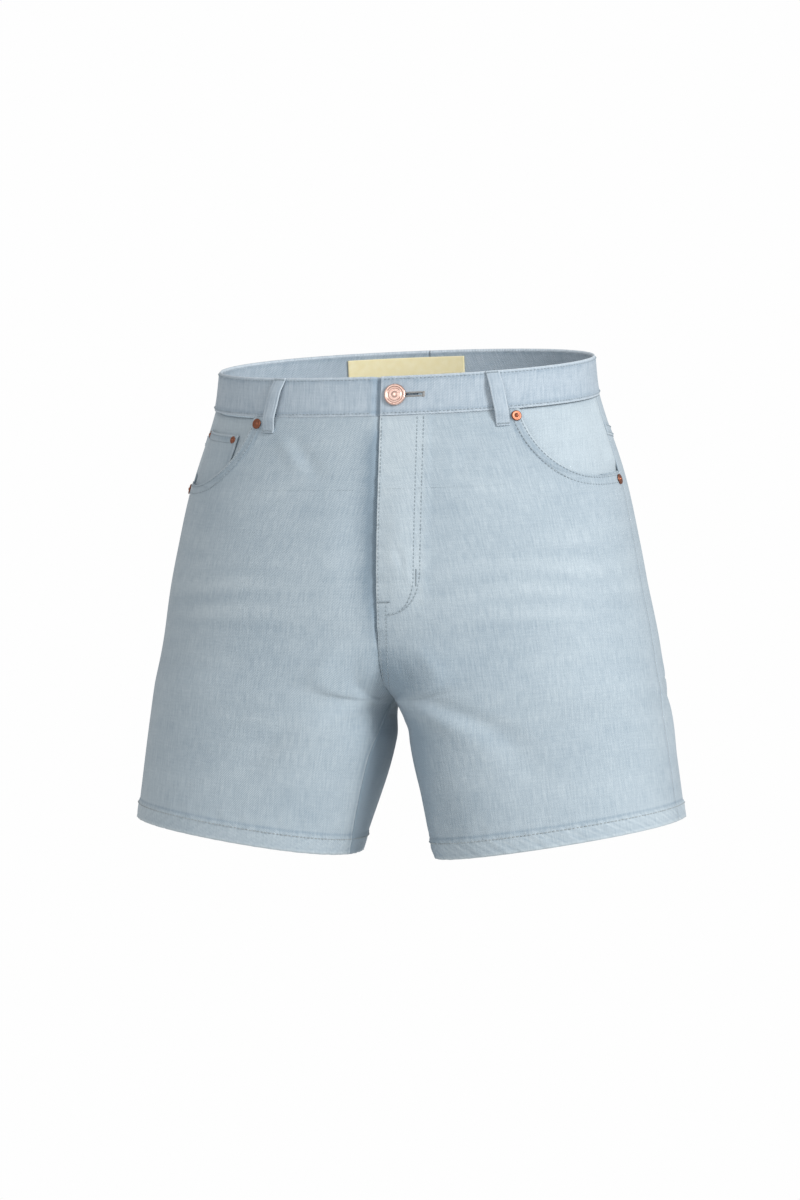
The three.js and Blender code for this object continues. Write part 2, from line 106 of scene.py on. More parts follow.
def ramp(start, end, value):
    """0 before start and 1 after end, with a smooth cubic between."""
    t = np.clip((value - start) / (end - start), 0, 1)
    return t * t * (3 - 2 * t)


def bell(distance, reach):
    """1 at no distance, falling softly to nothing at about twice the reach."""
    return np.exp(-(distance / reach) ** 2)


def between(column, level):
    """A cubic through one column of the form, its slopes weighted by the uneven steps between rows."""
    x = FORM[:, 0]
    y = FORM[:, FORM_COLUMNS.index(column)]
    step = np.diff(x)
    slope = np.diff(y) / step
    tangent = np.empty_like(y)
    tangent[0], tangent[-1] = slope[0], slope[-1]
    tangent[1:-1] = (slope[:-1] * step[:-1] + slope[1:] * step[1:]) / (step[:-1] + step[1:])
    i = np.clip(np.searchsorted(-x, -np.asarray(level, float), side="right") - 1, 0, len(x) - 2)
    h = step[i]
    t = (level - x[i]) / h
    return ((2 * t**3 - 3 * t**2 + 1) * y[i] + (t**3 - 2 * t**2 + t) * h * tangent[i]
            + (3 * t**2 - 2 * t**3) * y[i + 1] + (t**3 - t**2) * h * tangent[i + 1])


def form_point(angle, level, side):
    """A ring round half the body or one leg: half-ellipses either side of its middle, with filled corners,
    lifted by rise towards the back, by splay outwards and by the waist's tilt."""
    r = {name: between(name, level) for name in FORM_COLUMNS[1:]}
    leg = ramp(-255, HEM, level)
    outer = r["outer"] + side * LEAN * ramp(-170, -230, level)
    clear = np.where(side > 0, LEFT_CLEAR, 0) * ramp(-262, -288, level) * (1 - 0.5 * ramp(-320, HEM, level))
    inner = r["inner"] - side * INNER_DRIFT * leg + clear
    middle = r["middle"] - side * MIDDLE_DRIFT * leg
    c, s = np.cos(angle), np.sin(angle)
    half_width = (outer - middle) + ((middle - inner) - (outer - middle)) * (1 + c) / 2
    to_front = r["centre"] - r["front"] - r["fork"] / 2
    to_back = r["back"] - r["centre"] + r["fork"] / 2
    half_depth = to_back + (to_front - to_back) * (1 + s) / 2
    corner = 1 + r["square"] * np.sin(2 * angle) ** 2
    x = middle - half_width * c * corner
    y = r["centre"] - half_depth * s * corner - r["fork"] * (1 + c) / 2
    sag = HEM_SAG * (1 + 0.5 * side) * np.maximum(s, 0) * leg
    tilt = WAIST_TILT * side * x * ramp(-300, 0, level)
    z = level + r["rise"] * y + r["splay"] * (x - r["middle"]) + tilt - sag
    return np.stack([side * x, y, z], -1)


def inner_angle(level, side, low, high):
    """Where a ring crosses x = 0, found by halving."""
    low = np.full_like(level, low)
    high = np.full_like(level, high)
    for _ in range(36):
        mid = (low + high) / 2
        inside = side * form_point(mid, level, side)[..., 0] < 0
        low = np.where(inside, mid, low)
        high = np.where(inside, high, mid)
    return high


STEPS = 160


def ring_table(side):
    """For each level, the angle at even steps of cloth length, from the inner front to the side seam, then to
    the inner back; and the two lengths."""
    level = np.arange(0, HEM - 1, -1.0)
    inseam = np.radians(between("inseam", level))
    joined = between("inner", level) < 0
    start = np.where(joined, inner_angle(level, side, 0, 0.6 * np.pi), inseam)
    end = np.where(joined, inner_angle(level, side, 2 * np.pi, 1.4 * np.pi), 2 * np.pi + inseam)
    seam = np.pi - np.radians(between("seam", level))
    k = np.linspace(0, 1, STEPS + 1)
    angles, lengths = [], []
    for first, last in ((start, seam), (seam, end)):
        angle = first[:, None] + (last - first)[:, None] * k
        point = form_point(angle, level[:, None], side)
        piece = np.linalg.norm(np.diff(point, axis=1), axis=2)
        run = np.concatenate([np.zeros((len(level), 1)), np.cumsum(piece, axis=1)], axis=1)
        even = [np.interp(k * r[-1], r, a) for r, a in zip(run, angle)]
        angles.append(np.array(even))
        lengths.append(run[:, -1])
    return np.concatenate([angles[0], angles[1][:, 1:]], axis=1), lengths[0], lengths[1]


TABLES = {side: ring_table(side) for side in (-1, 1)}


def seam_at(level, side):
    """Cloth length from the inner front edge to the side seam."""
    return np.interp(-np.asarray(level, float), np.arange(len(TABLES[side][1])), TABLES[side][1])


def total_at(level, side):
    """Cloth length from the inner front edge round to the inner back edge."""
    whole = TABLES[side][1] + TABLES[side][2]
    return np.interp(-np.asarray(level, float), np.arange(len(whole)), whole)


def half_angle(level, across, side):
    """The ring angle at a level and a length across, read between the table's rows and columns."""
    angle, front, back = TABLES[side]
    row = np.clip(-level, 0, len(front) - 1.001)
    i = row.astype(int)
    f = row - i
    a, b = front[i] * (1 - f) + front[i + 1] * f, back[i] * (1 - f) + back[i + 1] * f
    column = np.where(across < a, across / a, 1 + (across - a) / b) * STEPS
    column = np.clip(column, 0, 2 * STEPS - 0.001)
    j = column.astype(int)
    g = column - j
    top = angle[i, j] * (1 - g) + angle[i, j + 1] * g
    low = angle[i + 1, j] * (1 - g) + angle[i + 1, j + 1] * g
    return top * (1 - f) + low * f


def fold_height(level, across, side, folds):
    """Soft ridges and troughs: a bell across, a squared half sine along."""
    out = np.zeros(np.broadcast(level, across).shape)
    for f in folds:
        t = np.clip((f["top"] - level) / (f["top"] - f["bottom"]), 0, 1)
        off = (across - f["across"] - f["lean"] * t) / f["width"]
        out += np.where(side == f["side"], f["depth"], 0) * np.sin(np.pi * t) ** 2 * np.exp(-off**2)
    return out


def cloth(level, across, side, lift=0.0, folds=FOLDS + CREASES):
    """Points and outward normals, in metres, of the cloth at a level and a length across, moved out by lift.
    A negative length carries on past the centre front on the other half."""
    level, across, lift = np.broadcast_arrays(*(np.asarray(value, float) for value in (level, across, lift)))
    half = np.where(across < 0, -side, side)
    length = np.abs(across)
    angle = np.where(half < 0, half_angle(level, length, -1), half_angle(level, length, 1))
    point = form_point(angle, level, half)
    along = form_point(angle + 0.01, level, half) - form_point(angle - 0.01, level, half)
    above = form_point(angle, np.minimum(level + 1, 0), half)
    up = above - form_point(angle, np.maximum(level - 1, HEM), half)
    normal = np.cross(along, up) * half[..., None]
    normal /= np.linalg.norm(normal, axis=-1, keepdims=True)
    height = lift + fold_height(level, length, half, folds)
    return (point + normal * height[..., None]) * MM, normal


def mesh_piece(name, point, faces):
    """A smooth mesh object in the scene."""
    mesh = bpy.data.meshes.new(name)
    mesh.from_pydata(point, [], faces)
    mesh.shade_smooth()
    piece = bpy.data.objects.new(name, mesh)
    bpy.context.scene.collection.objects.link(piece)
    return piece


def grid_piece(name, point, uv, flip, thickness, keep=None, wear_and_shade=None, hem_rows=0, hem_thickness=3.0):
    """A sheet from a grid of points, given its thickness inwards by Solidify. uv is in metres of cloth."""
    rows, columns = point.shape[:2]
    index = np.arange(rows * columns).reshape(rows, columns)
    quads = np.stack([index[:-1, :-1], index[1:, :-1], index[1:, 1:], index[:-1, 1:]], -1)
    quads = quads[..., ::-1] if flip else quads
    quads = quads[keep] if keep is not None else quads.reshape(-1, 4)
    piece = mesh_piece(name, point.reshape(-1, 3), quads.reshape(-1, 4).tolist())
    mesh = piece.data
    loops = np.empty(len(mesh.loops), np.int32)
    mesh.loops.foreach_get("vertex_index", loops)
    layer = mesh.uv_layers.new(name="cloth")
    layer.data.foreach_set("uv", uv.reshape(-1, 2)[loops].ravel())
    # This attribute holds real wear and, on some pieces, painted shade and painted light as well.
    attribute = mesh.attributes.new("wear_and_shade", "FLOAT", "POINT")
    attribute.data.foreach_set("value", (np.zeros(rows * columns) if wear_and_shade is None else wear_and_shade).ravel())
    solid = piece.modifiers.new("thickness", "SOLIDIFY")
    solid.offset = -1
    solid.thickness = thickness * MM
    if hem_rows:
        group = piece.vertex_groups.new(name="turned_hem")
        group.add(index[-hem_rows:].ravel().tolist(), 1.0, "REPLACE")
        solid.vertex_group = group.name
        solid.thickness = hem_thickness * MM
        solid.thickness_vertex_group = thickness / hem_thickness
    return piece


def linear(hex_colour):
    """sRGB hex to linear RGBA."""
    srgb = [int(hex_colour[i:i + 2], 16) / 255 for i in (1, 3, 5)]
    return [c / 12.92 if c <= 0.04045 else ((c + 0.055) / 1.055) ** 2.4 for c in srgb] + [1]


def node(tree, kind, links=None, values=None, **settings):
    """Adds one shader node: links maps input to source socket, values maps input to constant."""
    made = tree.nodes.new(kind)
    for key, value in settings.items():
        setattr(made, key, value)
    for key, value in (values or {}).items():
        made.inputs[key].default_value = value
    for key, source in (links or {}).items():
        tree.links.new(source, made.inputs[key])
    return made


def new_material(name):
    """A material, its node tree and its surface shader."""
    material = bpy.data.materials.new(name)
    material.use_nodes = True
    return material, material.node_tree, material.node_tree.nodes["Principled BSDF"]


def noise(tree, place, scale, detail, **values):
    """Cloudy noise, 0 to 1."""
    made = node(tree, "ShaderNodeTexNoise", {"Vector": place}, {"Scale": scale, "Detail": detail, **values})
    return made.outputs["Fac"]


def scaled(tree, place, *scale, turn=0.0):
    """Coordinates stretched along each axis and turned in their plane."""
    values = {"Rotation": (0, 0, math.radians(turn)), "Scale": scale}
    return node(tree, "ShaderNodeMapping", {"Vector": place}, values).outputs[0]


def added(tree, first, second):
    """The sum of two sockets."""
    return node(tree, "ShaderNodeMath", {0: first, 1: second}, operation="ADD").outputs[0]


def colour_surface(tree, surface, factor, low, high):
    """Mixes the surface's colour from two hex colours."""
    tone = node(tree, "ShaderNodeMix", {"Factor": factor}, data_type="RGBA")
    tone.inputs["A"].default_value = linear(low)
    tone.inputs["B"].default_value = linear(high)
    tree.links.new(tone.outputs["Result"], surface.inputs["Base Color"])


def emboss(tree, surface, height, strength, distance):
    """Fine relief."""
    bump = node(tree, "ShaderNodeBump", {"Height": height}, {"Strength": strength, "Distance": distance})
    tree.links.new(bump.outputs["Normal"], surface.inputs["Normal"])


def washed_denim(name, light, dark, warp=1.0):
    """Stone-washed cotton denim twill, streaked by uneven yarn, bleached where its wear is high, darkened where the
    same attribute carries painted shade and lightened where it carries painted light.
    """
    material, tree, surface = new_material(name)
    cloth_uv = node(tree, "ShaderNodeUVMap", uv_map="cloth").outputs["UV"]
    # Yarns are about 0.6 mm apart; slubs show as streaks 1 to 2 mm wide and 10 to 25 mm long.
    warp_streak = noise(tree, scaled(tree, cloth_uv, 760, 70, 1), 1, 3, Roughness=0.6)
    weft_streak = noise(tree, scaled(tree, cloth_uv, 75, 700, 1), 1, 2, Roughness=0.6)
    wash = noise(tree, cloth_uv, 16, 4, Roughness=0.55)
    whisker = noise(tree, scaled(tree, cloth_uv, 7, 60, 1), 1, 2)
    shares = ((warp_streak, 0.75 * warp), (weft_streak, 0.3), (wash, 0.35), (whisker, 0.3))
    # The attribute read here mixes real wear with painted shade and painted light.
    total = node(tree, "ShaderNodeAttribute", attribute_name="wear_and_shade").outputs["Fac"]
    for source, weight in shares:
        share = node(tree, "ShaderNodeMath", {0: source}, {1: weight}, operation="MULTIPLY").outputs[0]
        total = added(tree, total, share)
    centre = 0.5 * sum(weight for _, weight in shares)
    spread = node(tree, "ShaderNodeMapRange", {"Value": total},
                  {"From Min": centre - 0.45, "From Max": centre + 0.45, "To Min": 0, "To Max": 1})
    colour_surface(tree, surface, spread.outputs[0], dark, light)
    # The twill's diagonal is drawn at 1.1 mm, about twice its real size, so that it shows.
    slant = scaled(tree, cloth_uv, 900, 900, 1, turn=63)
    ribs = {"Scale": 0.32, "Distortion": 1.5, "Detail": 1}
    twill = node(tree, "ShaderNodeTexWave", {"Vector": slant}, ribs)
    relief = added(tree, added(tree, twill.outputs["Fac"], weft_streak), warp_streak)
    emboss(tree, surface, relief, 0.5, 0.00035)
    surface.inputs["Roughness"].default_value = 0.92
    surface.inputs["Specular IOR Level"].default_value = 0.2
    surface.inputs["Sheen Weight"].default_value = 0.18
    surface.inputs["Sheen Roughness"].default_value = 0.5
    return material


panel_denim = washed_denim("light-wash denim twill", "#c3cfd6", "#8b9dab")
band_denim = washed_denim("light-wash denim twill, band", "#c7d2db", "#8d9fae", 1.2)
# The facings' own copy of the denim, which their raised wear value paints lighter, as if lit.
facing_denim = washed_denim("light-wash denim twill, facing", "#bac7cf", "#8798a5")
SIDES = (1, -1)
WORD = {1: "left", -1: "right"}


def dress(piece, material, slot, *nodes):
    """Gives a piece its finish and its place on the one body."""
    piece.data.materials.append(material)
    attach(piece, "root")
    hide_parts(*nodes)
    return piece


def mouth(turn):
    """The pocket mouth, from the waist seam (0) to the side seam (90 degrees): level and length in from that seam."""
    angle = np.radians(turn)
    level = WAIST_SEAM - GAP / 2 - POCKET_DROP * np.sin(angle) ** 0.95
    return level, POCKET_REACH * np.sqrt(np.clip(np.cos(angle), 0, 1))


def edge_wear(distance, rim=0.30, groove=0.22, reach=1.6, at=3.2):
    """Bleached on the edge itself and darker in the groove beside the seam."""
    return rim * bell(distance, reach) - groove * bell(distance - at, 1.8)


def puckers(length, pitch, seed):
    """Uneven ripples along a sewn edge, from three sines whose pitches don't divide each other."""
    a = 2 * np.pi * length / pitch
    slow = 0.7 * np.sin(0.63 * a + 2.1 * seed)
    return (np.sin(a + seed) + slow + 0.5 * np.sin(1.71 * a + 0.7 * seed)) / 2.2


def turned_hem(to_hem, across, seed, wear_seed):
    """Where the hem is turned (0 to 1), how far its face stands out, and its roped, bleached wear."""
    hem = ramp(HEM_DEPTH + 0.8, HEM_DEPTH - 0.8, to_hem)
    lift = 0.7 * hem + 0.45 * hem * puckers(across + 1.4 * to_hem, 11, seed)
    wear_and_shade = 0.8 * edge_wear(to_hem, 0.4, 0.1) + 0.10 * hem
    wear_and_shade = wear_and_shade + 0.2 * hem * puckers(across + 2 * to_hem, 6.5, wear_seed)
    return lift, wear_and_shade - 0.35 * bell(to_hem - HEM_DEPTH - 0.6, 1.2)


def front_panel(side):
    """Rows follow the pocket mouth down to the side seam, then levels to the hem, from the inner edge outwards."""
    turns = 90 * (1 - (1 - np.linspace(0, 1, 56)) ** 1.7)
    upper, from_side = mouth(turns)
    lower = np.linspace(upper[-1] - 1.2, HEM + 0.01, 190)
    level = np.concatenate([upper, lower])[:, None]
    from_side = np.concatenate([from_side, np.zeros(len(lower))])[:, None]
    end = seam_at(level, side) - np.maximum(from_side, GAP / 2)
    under = ramp(FLY_BOTTOM - 18, FLY_BOTTOM - 2, level) if side < 0 else 0 * level
    start = GAP / 2 - FLY_WIDTH * under
    near = np.linspace(0, 1, 14)[None, :]
    main = np.linspace(0, 1, 110)[None, 1:]
    across = np.concatenate([start + (6 - start) * near, 6 + (end - 6) * main], axis=1)
    level = np.broadcast_to(level, across.shape)
    stepped = ramp(FLY_BOTTOM - 38, FLY_BOTTOM - 22, level) if side < 0 else 0 * level
    lift = -(CLOTH + 3 * GAP) * ramp(3.2, 0.6, across) * stepped
    # The pocket mouth stands off a little, its turned edge is thicker, and so is the hem.
    to_mouth = end - across
    in_mouth = ramp(-92, -80, level)
    lift = lift + in_mouth * (1.4 * bell(to_mouth, 14) + 0.5 * ramp(8.6, 7.4, to_mouth))
    to_hem = level - HEM
    hem_lift, hem_wear = turned_hem(to_hem, across, 1 + side, side)
    lift = lift + hem_lift
    lift = lift + 0.35 * bell(to_hem - HEM_DEPTH - 4, 5) * puckers(across, 17, 3)
    # The fly's turned allowance stands up beside the centre front.
    if side > 0:
        fly = ramp(41, 38, across) * ramp(FLY_BOTTOM - 12, FLY_BOTTOM + 20, level)
        lift = lift + 0.5 * fly + 0.5 * bell(across - 35, 4) * puckers(level, 13, 2) * (level > -196)
        lift = lift + 0.45 * bell(across, 5) * puckers(level, 15, 5)
    to_inseam = np.where(level < -262, across, 99)
    wear_and_shade = hem_wear + in_mouth * edge_wear(to_mouth, 0.3, 0.22, 2.0, 4.4)
    wear_and_shade = wear_and_shade - 0.20 * in_mouth * bell(to_mouth - 9, 1.6)
    wear_and_shade = wear_and_shade + edge_wear(np.abs(to_inseam), 0.2, 0.2) + edge_wear(end - across, 0.12, 0.15) * (level < -92)
    if side > 0:
        # Painted highlight: the wearer's left front is made lighter over the fly's lap, as if lit where it stands up.
        wear_and_shade = wear_and_shade + 0.22 * ramp(40, 34, across) * ramp(-200, -170, level)
        wear_and_shade = wear_and_shade + edge_wear(np.abs(across), 0.2, 0)
    else:
        # Painted shadow: the right front is darkened in a narrow band beside the centre front, as if shaded by the
        # fly's lapping edge, from below the waistband to below the fly.
        fly_shadow_levels = ramp(-245, -150, level) * ramp(-30, -60, level)
        wear_and_shade = wear_and_shade - np.exp(-(np.clip(across, 0, None) / 9) ** 1.3) * fly_shadow_levels
    whiskers = bell(level + 172, 26) * bell(across - 130, 70)
    bands = np.sin(level / 3.6 + 0.9 * np.sin(across / 23) + side) + 0.6 * np.sin(level / 6.1 + across / 47)
    wear_and_shade = wear_and_shade + whiskers * (0.10 + 0.11 * bands)
    # Painted shade: both fronts are darkened round the crotch towards their inner edges, deeper and wider on the
    # wearer's left.
    shade = bell(level + 262, 34) * np.exp(-(np.clip(across, 0, None) / (34 + 10 * side)) ** 1.5)
    wear_and_shade = wear_and_shade - (0.55 + 0.25 * side) * shade
    # Painted shade along the inner edge of the wearer's left leg, from the crotch to the hem.
    if side > 0:
        wear_and_shade = wear_and_shade - 0.7 * np.exp(-(across / 24) ** 1.5) * ramp(-258, -285, level)
    point, _ = cloth(level, across, side, lift)
    uv = np.stack([seam_at(level, side) - across, -level], -1) * MM
    return grid_piece(f"front_{WORD[side]}", point, uv, side < 0, CLOTH, wear_and_shade=wear_and_shade, hem_rows=9)


for side in SIDES:
    front = dress(front_panel(side), panel_denim, "denim", f"front_{WORD[side]}")

# ---- Pocket facings and coin pocket ----
# The facing is the cloth that shows inside the pocket mouth; on the right it carries a small coin pocket,
# a turned patch with double rows of stitching.
COIN = dict(level=-46, bottom=-98, near_side=6, width=70, thick=1.0)
COIN_LIFT = -CLOTH - PLY_GAP


def patch_grid(rows, columns, side, spot, lift, folds=FOLDS):
    """A patch laid on the form: spot gives level and length across for each (u, v)."""
    u, v = np.meshgrid(np.linspace(0, 1, columns), np.linspace(0, 1, rows))
    level, across = spot(u, v)
    point, _ = cloth(level, across, side, lift(u, v) if callable(lift) else lift, folds)
    return point, np.stack([across, -level], -1) * MM, u, v


for side in SIDES:
    lift = COIN_LIFT - COIN["thick"] - 0.4 if side < 0 else COIN_LIFT + 0.5

    def facing_spot(u, v):
        level = WAIST_SEAM - GAP / 2 + (-112 - WAIST_SEAM) * v
        seam = seam_at(level, side)
        return level, seam - (POCKET_REACH + 9) * (1 - u) - GAP / 2 * u

    # Inside the mouth the facing comes up to the side seam, flush with the back panel.
    def facing_lift(u, v, lift=lift):
        return lift - (lift + 0.3) * ramp(0.80, 0.985, u) * ramp(0.72, 0.60, v)

    point, uv, u, v = patch_grid(50, 80, side, facing_spot, facing_lift)
    # Painted light: both facings are lightened all over through a raised wear value, as if brightly lit inside the
    # pocket mouths.
    facing = grid_piece(f"pocket_facing_{WORD[side]}", point, uv, side < 0, 1.0, wear_and_shade=0.35 + 0 * u)
    dress(facing, facing_denim, "denim", f"pocket_facing_{WORD[side]}")


def coin_spot(u, v):
    """A four-sided patch hung from its top edge."""
    level = COIN["level"] + (COIN["bottom"] - COIN["level"]) * v
    return level, seam_at(level, -1) - COIN["near_side"] - COIN["width"] * (1 - u)


point, uv, u, v = patch_grid(40, 48, -1, coin_spot, lambda u, v: COIN_LIFT + 0.5 + 0.5 * ramp(0.16, 0.12, v))
coin_wear = edge_wear(v * 52, 0.3, 0.2) + edge_wear((1 - u) * 70, 0.2, 0.15) + edge_wear(u * 70, 0.25, 0.15)
coin = grid_piece("coin_pocket", point, uv, True, COIN["thick"], wear_and_shade=coin_wear)
dress(coin, panel_denim, "denim", "coin_pocket")

# ---- Waistband ----
# A straight band cut double, 31 mm deep, turned in and sewn along both edges; the left end laps over the
# right and has a worked buttonhole.
BAND = 2.6
BAND_PROUD = 0.7
BAND_LAP = 29.0
BUTTON_ACROSS, BUTTON_LEVEL = 11.5, -15.0
SLOT_START, SLOT_END, SLOT_HALF = 9.5, 32.5, 1.0


def band_lift(level, across, side):
    """Both edges are rolled under, the middle is flat, and the right end steps in below the left one."""
    edge = np.minimum(-level, level - WAIST_SEAM)
    rolled = -0.9 * np.exp(-np.clip(edge, 0, None) / 0.7)
    step = (BAND + GAP + 0.1) * ramp(7, 1.5, across) if side < 0 else 0
    ripple = 0.28 * puckers(across + 0.8 * level, 14, 2 + side) * bell(edge, 6)
    return BAND_PROUD + rolled - step + ripple


def waistband(side):
    upper_edge, lower_edge = [-0.01, -0.25, -0.6], [-30.3, -30.6, -30.85]
    level = np.concatenate([upper_edge, np.linspace(-1, -29.8, 32), lower_edge])[:, None]
    total = total_at(level, side) - GAP / 2
    near = np.linspace(-BAND_LAP if side < 0 else GAP / 2, 40, 70)[None, :]
    across = np.concatenate([near + 0 * level, 40 + (total - 40) * np.linspace(0, 1, 200)[None, 1:]], axis=1)
    level = np.broadcast_to(level, across.shape)
    point, _ = cloth(level, across, side, band_lift(level, across, side))
    edge = np.minimum(-level, level - WAIST_SEAM)
    wear_and_shade = edge_wear(edge, 0.35, 0.16) + 0.15 * puckers(across + 2.5 * level, 7, side) * bell(edge, 4)
    if side > 0:
        wear_and_shade = wear_and_shade + edge_wear(np.abs(across), 0.25, 0.1)
    else:
        # Painted shade on the right end of the band, beside and under the left end that laps over it.
        wear_and_shade = wear_and_shade - 0.3 * bell(across - 4, 5)
    keep = None
    if side > 0:
        middle_level = (level[:-1, :-1] + level[1:, 1:]) / 2
        middle_across = (across[:-1, :-1] + across[1:, 1:]) / 2
        keep = ~((np.abs(middle_level - BUTTON_LEVEL) < SLOT_HALF)
                 & (middle_across > SLOT_START) & (middle_across < SLOT_END))
    uv = np.stack([across, -level], -1) * MM
    return grid_piece(f"waistband_{WORD[side]}", point, uv, side < 0, BAND, keep, wear_and_shade)


for side in SIDES:
    band = dress(waistband(side), band_denim, "denim", f"waistband_{WORD[side]}")

# ---- Back: yokes, panels and patch pockets ----
# A yoke shapes the seat above each back panel, and a plain five-sided pocket is sewn on each panel.
YOKE_SIDE, YOKE_CENTRE = 30.0, 66.0
BACK_POCKET = dict(top=-107, depth=112, point=13, width=128, narrow=112, from_centre=44)


def back_pocket_spot(u, v, side, inset=0.0):
    """Level, length across and whole depth at a spot of the patch, its edges moved in by inset."""
    width = BACK_POCKET["width"] + (BACK_POCKET["narrow"] - BACK_POCKET["width"]) * v - 2 * inset
    sideways = width * (u - 0.5)
    depth = BACK_POCKET["depth"] + BACK_POCKET["point"] * (1 - np.abs(2 * u - 1)) - inset
    level = BACK_POCKET["top"] - depth * v + 0.08 * sideways
    across = total_at(level, side) - BACK_POCKET["from_centre"] - BACK_POCKET["width"] / 2 + sideways
    return level, across, depth


def yoke_level(u):
    """The yoke seam falls evenly from the side seam to the centre back."""
    return WAIST_SEAM - YOKE_SIDE - (YOKE_CENTRE - YOKE_SIDE) * u


for side in SIDES:
    u, v = np.meshgrid(np.linspace(0, 1, 130), np.linspace(0, 1, 44))
    top = WAIST_SEAM - GAP / 2
    level = top + (yoke_level(u) + GAP / 2 - top) * v
    across = seam_at(level, side) + GAP / 2 + (total_at(level, side) - seam_at(level, side) - GAP) * u
    edge = level - yoke_level(u)
    lift = 0.5 * ramp(9, 7.5, edge) + 0.25 * puckers(across, 13, 4) * bell(edge, 7)
    point, _ = cloth(level, across, side, lift)
    wear_and_shade = edge_wear(edge, 0.25, 0.1) - 0.15 * bell(edge - 9, 2)
    uv = np.stack([across, -level], -1) * MM
    yoke = grid_piece(f"yoke_{WORD[side]}", point, uv, side < 0, CLOTH, wear_and_shade=wear_and_shade)
    dress(yoke, panel_denim, "denim", f"yoke_{WORD[side]}")

    u, w = np.meshgrid(np.linspace(0, 1, 130), np.linspace(0, 1, 190))
    top = yoke_level(u) - GAP / 2
    level = top + (HEM + 0.01 - top) * w
    across = seam_at(level, side) + GAP / 2 + (total_at(level, side) - seam_at(level, side) - 1.5 * GAP) * u
    to_hem = level - HEM
    to_centre = total_at(level, side) - across
    hem_lift, hem_wear = turned_hem(to_hem, across, 4 + side, 2)
    lift = hem_lift + 0.35 * bell(to_centre, 6) * puckers(level, 14, 1)
    point, _ = cloth(level, across, side, lift)
    wear_and_shade = hem_wear + edge_wear(to_centre, 0.2, 0.2)
    wear_and_shade = wear_and_shade + 0.25 * bell(level + 190, 60) * bell(to_centre - 90, 60)
    # Painted shade on the inner back of each leg, near the centre back seam and the inseam, from the crotch down.
    wear_and_shade = wear_and_shade - 0.6 * bell(to_centre, 55) * ramp(-262, -290, level)
    uv = np.stack([across - seam_at(level, side), -level], -1) * MM
    back = grid_piece(f"back_{WORD[side]}", point, uv, side < 0, CLOTH,
                      wear_and_shade=wear_and_shade, hem_rows=9)
    dress(back, panel_denim, "denim", f"back_{WORD[side]}")

    u, v = np.meshgrid(np.linspace(0, 1, 90), np.linspace(0, 1, 90))
    level, across, depth = back_pocket_spot(u, v, side)
    rim = np.minimum(np.minimum(u, 1 - u) * 118, (1 - v) * 118)
    lift = CLOTH + 0.35 + 1.3 * np.sin(np.pi * u) * (1 - v) ** 2 + 0.4 * ramp(14, 12.5, v * depth)
    lift = lift + 0.2 * puckers(level + across, 12, 2) * bell(rim, 5)
    point, _ = cloth(level, across, side, lift)
    wear_and_shade = edge_wear(rim, 0.3, 0.15) + edge_wear(v * depth, 0.3, 0.1)
    uv = np.stack([across, -level], -1) * MM
    pocket = grid_piece(f"back_pocket_{WORD[side]}", point, uv, side < 0, CLOTH, wear_and_shade=wear_and_shade)
    dress(pocket, panel_denim, "denim", f"back_pocket_{WORD[side]}")

# ---- Belt loops ----
# Five straps, 11 mm wide, folded in three and sewn twice along their length, tacked at both ends, though no tacks are
# sewn on the centre back one.
LOOP_WIDTH, LOOP_THICK, LOOP_ARCH, LOOP_BELOW = 11.0, 1.6, 3.2, 13.0
BACK_CENTRE = float(total_at(WAIST_SEAM, 1))
LOOPS = [
    ("belt_loop_front_left", 1, 86, 96),
    ("belt_loop_front_right", -1, 84, 94),
    ("belt_loop_back_left", 1, BACK_CENTRE - 96, BACK_CENTRE - 92),
    ("belt_loop_back_right", -1, BACK_CENTRE - 96, BACK_CENTRE - 92),
    ("belt_loop_back_centre", 1, None, None),
]


def cloth_at_back(level, off, lift):
    """Points and normals of the cloth at a distance off the centre back, to the wearer's left if positive."""
    left, left_normal = cloth(level, total_at(level, 1) - np.abs(off), 1, lift, FOLDS)
    right, right_normal = cloth(level, total_at(level, -1) - np.abs(off), -1, lift, FOLDS)
    on_left = (off > 0)[..., None]
    return np.where(on_left, left, right), np.where(on_left, left_normal, right_normal)


def loop_grid(side, top, bottom, rows=60, columns=22):
    """A strap down the waistband that rests on it at both ends and arches between; its long edges roll under."""
    u, v = np.meshgrid(np.linspace(0, 1, columns), np.linspace(0, 1, rows))
    level = -0.5 + (WAIST_SEAM - LOOP_BELOW + 0.5) * v
    off = (u - 0.5) * LOOP_WIDTH
    lift = GAP + BAND_PROUD * ramp(0.95, 0.7, v) + LOOP_ARCH * ramp(0, 0.3, v) * ramp(1, 0.72, v) + LOOP_THICK
    lift = lift - 0.8 * np.abs(2 * u - 1) ** 8 - 0.5 * bell((np.abs(off) - 3.6), 0.7) * 0.5
    if top is None:
        point, _ = cloth_at_back(level, off, lift)
    else:
        point, _ = cloth(level, top + (bottom - top) * v + off, side, lift, FOLDS)
    return point, u, v


for name, side, top, bottom in LOOPS:
    point, u, v = loop_grid(side, top, bottom)
    flip = side < 0 or top is None
    uv = np.stack([u * LOOP_WIDTH, v * 44], -1) * MM
    wear_and_shade = 0.3 * np.abs(2 * u - 1) ** 4 - 0.15 * bell((np.abs(u - 0.5) - 0.33), 0.05)
    wear_and_shade = wear_and_shade + 0.3 * bell(v * 44, 2)
    loop = grid_piece(name, point, uv, flip, LOOP_THICK, wear_and_shade=wear_and_shade)
    dress(loop, band_denim, "denim", name)

